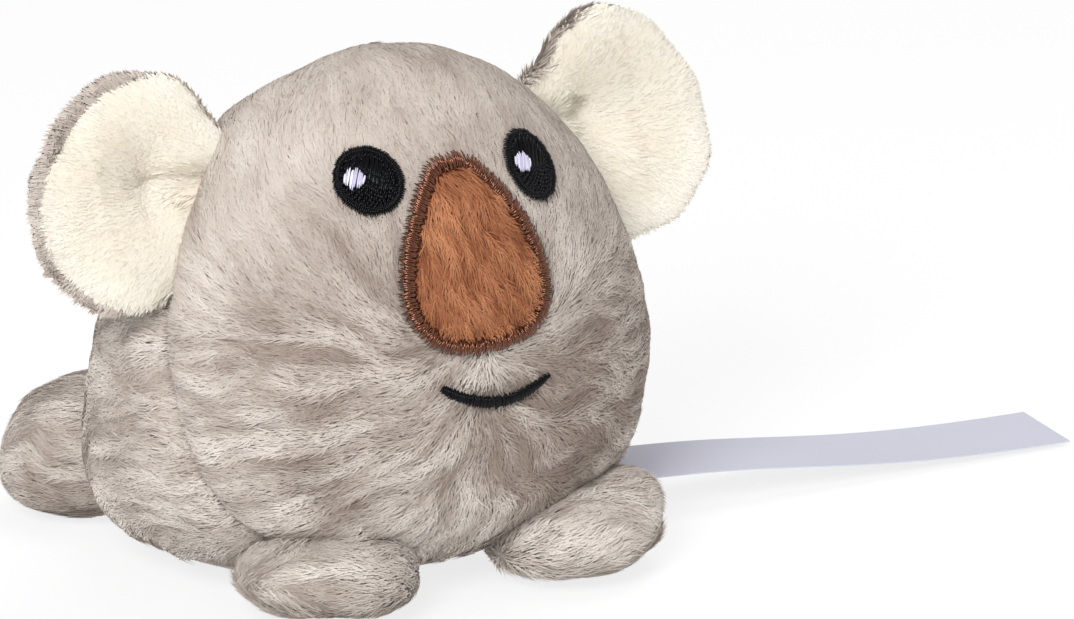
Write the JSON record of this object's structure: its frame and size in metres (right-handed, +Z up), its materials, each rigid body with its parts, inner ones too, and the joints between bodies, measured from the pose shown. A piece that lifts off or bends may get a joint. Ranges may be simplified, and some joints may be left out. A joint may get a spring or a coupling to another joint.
{
  "type": "plush screen cleaner",
  "caption": "Palm-sized round plush koala with embroidered face, sewn ears and feet, a plain satin ribbon at the side and a flat microfibre pad underneath for wiping screens.",
  "frame": {"origin": "on the flat of the cleaning pad, below the middle of the body's widest ring", "axes": "+Z up, the toy faces -Y, +X is the toy's own left, where the ribbon is sewn in"},
  "size_m": [0.1283, 0.0723, 0.061],
  "materials": {
    "plush": "short-pile velboa plush, warm grey",
    "cream_plush": "longer, softer pile, cream",
    "brown_plush": "short-pile plush, chestnut brown",
    "brown_thread": "satin stitch, dark brown rayon thread",
    "black_thread": "filled embroidery, black thread",
    "white_thread": "satin stitch, cool white thread",
    "microfibre": "suede-like microfibre cleaning cloth",
    "satin_ribbon": "woven satin tape, bare",
    "polyester_fibre": "loose polyester stuffing",
    "bag_cloth": "thin woven cotton",
    "plastic_pellets": "small polypropylene beads"
  },
  "bodies": {
    "body": {"face_panel": "plush", "back_panel_left": "plush", "back_panel_right": "plush", "cleaning_sole": "microfibre", "fibre_filling": "polyester_fibre", "pellet_bag_top": "bag_cloth", "pellet_bag_bottom": "bag_cloth", "pellet_fill": "plastic_pellets", "eye_left": "black_thread", "eye_rim_left": "black_thread", "eye_glint_left": "white_thread", "eye_right": "black_thread", "eye_rim_right": "black_thread", "eye_glint_right": "white_thread", "nose_patch": "brown_plush", "nose_border": "brown_thread", "mouth_stitching": "black_thread"},
    "ear_left": {"ear_front_left": "cream_plush", "ear_back_left": "plush"},
    "ear_right": {"ear_front_right": "cream_plush", "ear_back_right": "plush"},
    "front_foot_left": {"front_foot_left_top": "plush", "front_foot_left_bottom": "plush", "front_foot_left_filling": "polyester_fibre"},
    "front_foot_right": {"front_foot_right_top": "plush", "front_foot_right_bottom": "plush", "front_foot_right_filling": "polyester_fibre"},
    "rear_foot_left": {"rear_foot_left_top": "plush", "rear_foot_left_bottom": "plush", "rear_foot_left_filling": "polyester_fibre"},
    "rear_foot_right": {"rear_foot_right_top": "plush", "rear_foot_right_bottom": "plush", "rear_foot_right_filling": "polyester_fibre"},
    "ribbon": {"ribbon": "satin_ribbon"}
  },
  "joints": [
    {"name": "ear_left_bend", "type": "hinge", "parent": "body", "child": "ear_left", "pos_m": [0.02458, -0.00565, 0.045], "axis": [-0.5709, 0.2573, 0.7797], "range_deg": [-25, 25], "stiffness_Nm_per_rad": 0.01},
    {"name": "ear_right_bend", "type": "hinge", "parent": "body", "child": "ear_right", "pos_m": [-0.02458, -0.00565, 0.045], "axis": [-0.5709, -0.2573, -0.7797], "range_deg": [-25, 25], "stiffness_Nm_per_rad": 0.01},
    {"name": "front_foot_left_flex", "type": "hinge", "parent": "body", "child": "front_foot_left", "pos_m": [0.01306, -0.01782, 0.0045], "axis": [0.8513, 0.5247, 0], "range_deg": [-8, 3], "stiffness_Nm_per_rad": 0.02},
    {"name": "front_foot_right_flex", "type": "hinge", "parent": "body", "child": "front_foot_right", "pos_m": [-0.01306, -0.01782, 0.0045], "axis": [0.8513, -0.5247, 0], "range_deg": [-8, 3], "stiffness_Nm_per_rad": 0.02},
    {"name": "rear_foot_left_flex", "type": "hinge", "parent": "body", "child": "rear_foot_left", "pos_m": [0.01792, 0.02357, 0.0045], "axis": [-0.7477, 0.664, 0], "range_deg": [-8, 3], "stiffness_Nm_per_rad": 0.02},
    {"name": "rear_foot_right_flex", "type": "hinge", "parent": "body", "child": "rear_foot_right", "pos_m": [-0.01792, 0.02357, 0.0045], "axis": [-0.7477, -0.664, 0], "range_deg": [-8, 3], "stiffness_Nm_per_rad": 0.02},
    {"name": "ribbon_swing", "type": "hinge", "parent": "body", "child": "ribbon", "pos_m": [0.02511, -0.00526, 0.0045], "axis": [0, -1, 0], "range_deg": [-1.5, 40], "stiffness_Nm_per_rad": 0.003}
  ]
}
